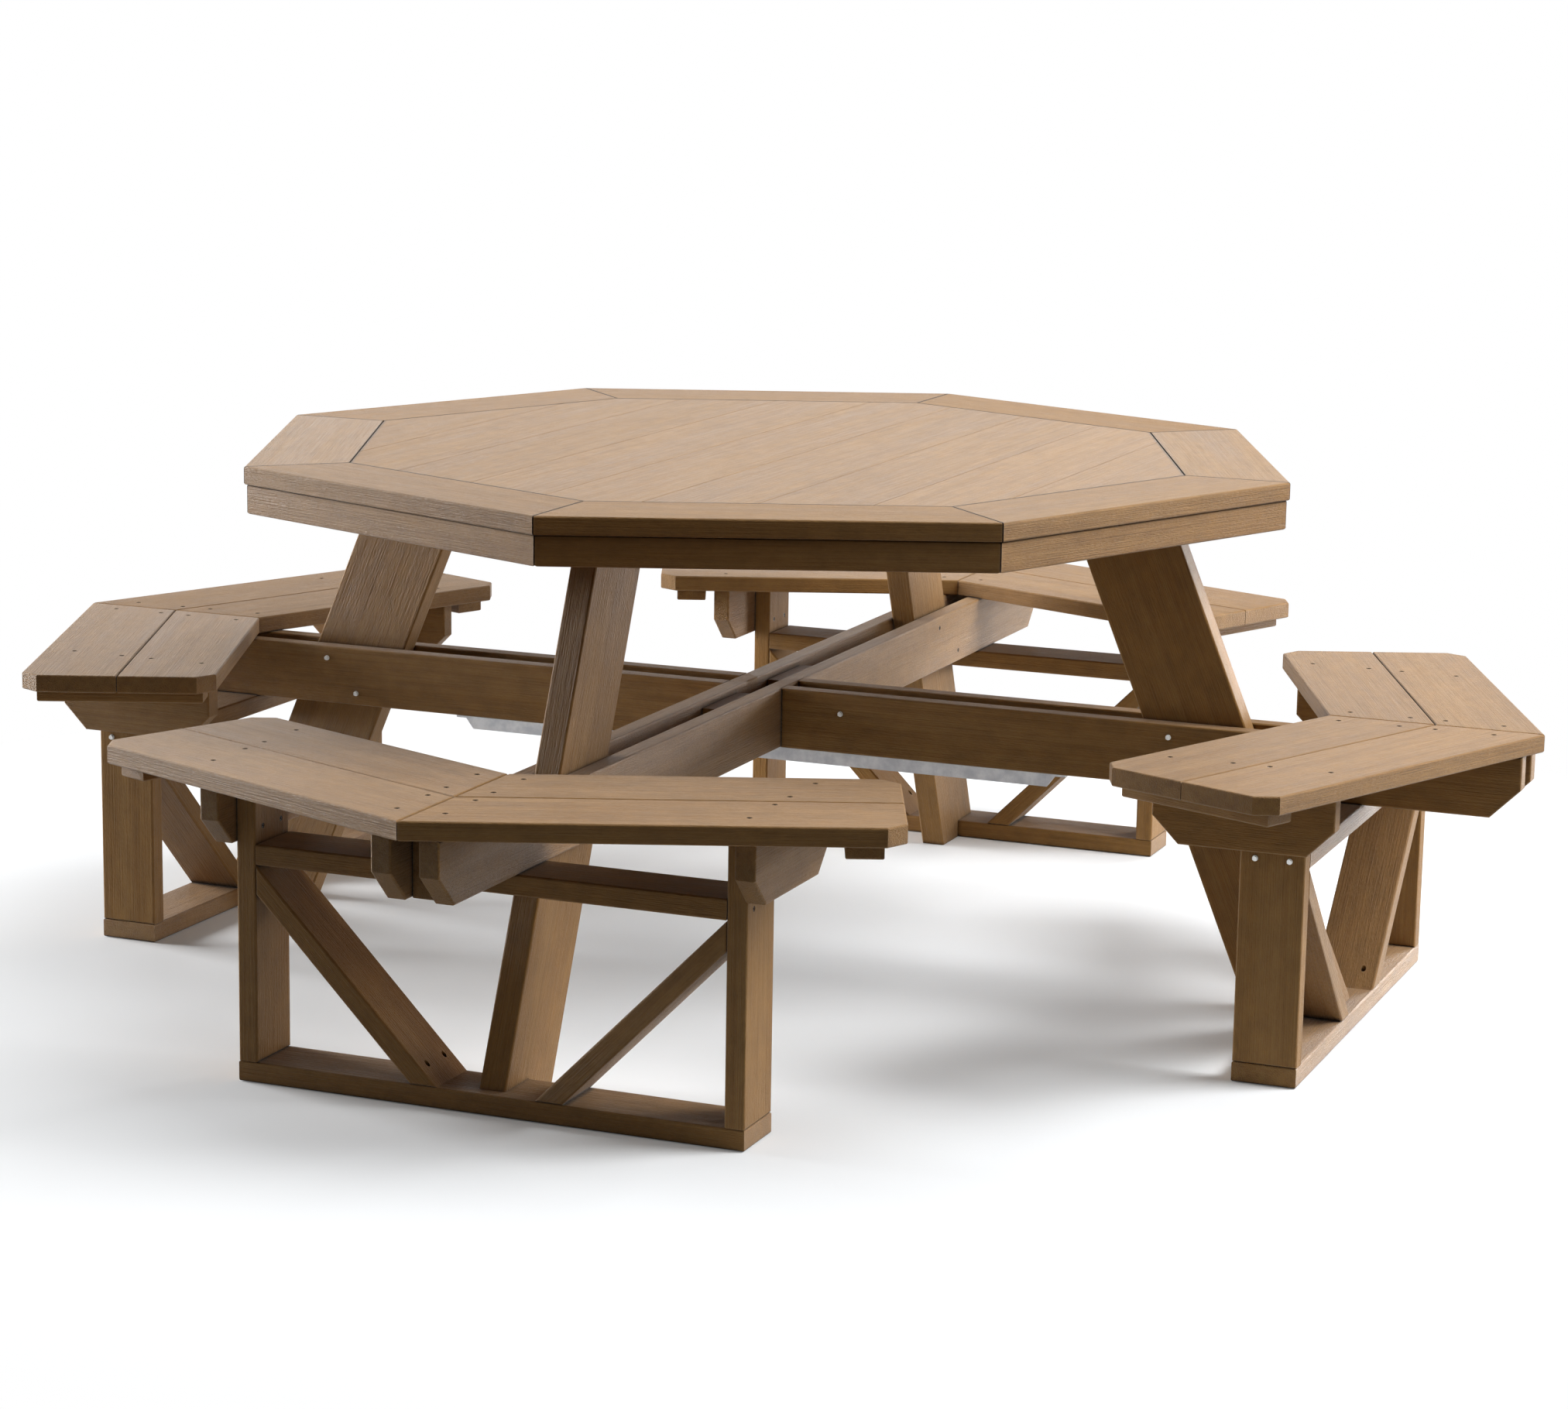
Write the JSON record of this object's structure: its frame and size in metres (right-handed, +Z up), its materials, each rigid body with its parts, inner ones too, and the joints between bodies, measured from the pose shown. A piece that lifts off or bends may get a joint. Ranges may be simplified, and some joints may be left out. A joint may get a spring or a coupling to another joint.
{
  "type": "octagon picnic table",
  "caption": "Octagonal plank-top picnic table with mitred border and apron, leaning legs on crossed double beams and chevron bench seats on braced frames",
  "frame": {"origin": "on the floor under the middle of the top", "axes": "+Z up, +X towards the right bench, +Y towards the back bench, beams along X and Y"},
  "size_m": [2.3216, 2.3216, 0.762],
  "materials": {
    "brown_lumber": "matte, wood grain pressed into the faces",
    "galvanised_steel": "dull zinc coat",
    "zinc_screw": "bright zinc",
    "dark_screw": "dark brown coat"
  },
  "bodies": {
    "root": {"apron_boards": "brown_lumber", "back_bench_braces": "brown_lumber", "back_bench_posts": "brown_lumber", "back_bench_rails": "brown_lumber", "back_bench_supports": "brown_lumber", "back_leg": "brown_lumber", "back_seat_left_arm": "brown_lumber", "back_seat_right_arm": "brown_lumber", "border_board_1": "brown_lumber", "border_board_2": "brown_lumber", "border_board_3": "brown_lumber", "border_board_4": "brown_lumber", "border_board_5": "brown_lumber", "border_board_6": "brown_lumber", "border_board_7": "brown_lumber", "border_board_8": "brown_lumber", "corner_cleats": "brown_lumber", "crosswise_beam_left": "brown_lumber", "crosswise_beam_right": "brown_lumber", "field_plank_1": "brown_lumber", "field_plank_2": "brown_lumber", "field_plank_3": "brown_lumber", "field_plank_4": "brown_lumber", "field_plank_5": "brown_lumber", "field_plank_6": "brown_lumber", "field_plank_7": "brown_lumber", "field_plank_8": "brown_lumber", "field_plank_9": "brown_lumber", "frame_screws": "dark_screw", "front_bench_braces": "brown_lumber", "front_bench_posts": "brown_lumber", "front_bench_rails": "brown_lumber", "front_bench_supports": "brown_lumber", "front_leg": "brown_lumber", "front_seat_left_arm": "brown_lumber", "front_seat_right_arm": "brown_lumber", "lag_screws": "zinc_screw", "left_bench_braces": "brown_lumber", "left_bench_posts": "brown_lumber", "left_bench_rails": "brown_lumber", "left_bench_supports": "brown_lumber", "left_leg": "brown_lumber", "left_seat_left_arm": "brown_lumber", "left_seat_right_arm": "brown_lumber", "lengthwise_beam_left": "brown_lumber", "lengthwise_beam_right": "brown_lumber", "right_bench_braces": "brown_lumber", "right_bench_posts": "brown_lumber", "right_bench_rails": "brown_lumber", "right_bench_supports": "brown_lumber", "right_leg": "brown_lumber", "right_seat_left_arm": "brown_lumber", "right_seat_right_arm": "brown_lumber", "seat_end_cleats": "brown_lumber", "seat_screws": "dark_screw", "side_battens": "brown_lumber", "spacer_blocks": "brown_lumber", "steel_channel": "galvanised_steel", "top_bearers": "brown_lumber", "underside_screws": "dark_screw"}
  },
  "joints": []
}
